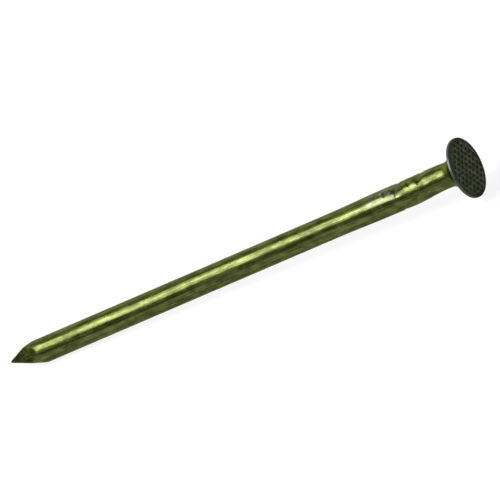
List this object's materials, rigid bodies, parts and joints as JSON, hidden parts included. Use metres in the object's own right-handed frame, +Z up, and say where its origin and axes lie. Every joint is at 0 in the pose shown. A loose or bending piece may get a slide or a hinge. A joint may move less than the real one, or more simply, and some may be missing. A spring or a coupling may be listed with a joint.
{
  "type": "wire nail",
  "caption": "Smooth-shank round wire nail with a waffled flat head, gripping marks under the head, a four-sided point and an olive coating.",
  "frame": {"origin": "centre of the struck face of the head", "axes": "+X out of the struck face along the nail's axis, so the tip is at -X; +Z up when the nail lies on its side; the row of cross marks nearest the top is 5 degrees from +Z towards -Y"},
  "size_m": [0.0825, 0.0092, 0.0092],
  "materials": {
    "coated_steel": "glossy see-through olive coating over drawn steel wire, darker and duller on the struck face"
  },
  "bodies": {
    "root": {"nail": "coated_steel"}
  },
  "joints": []
}
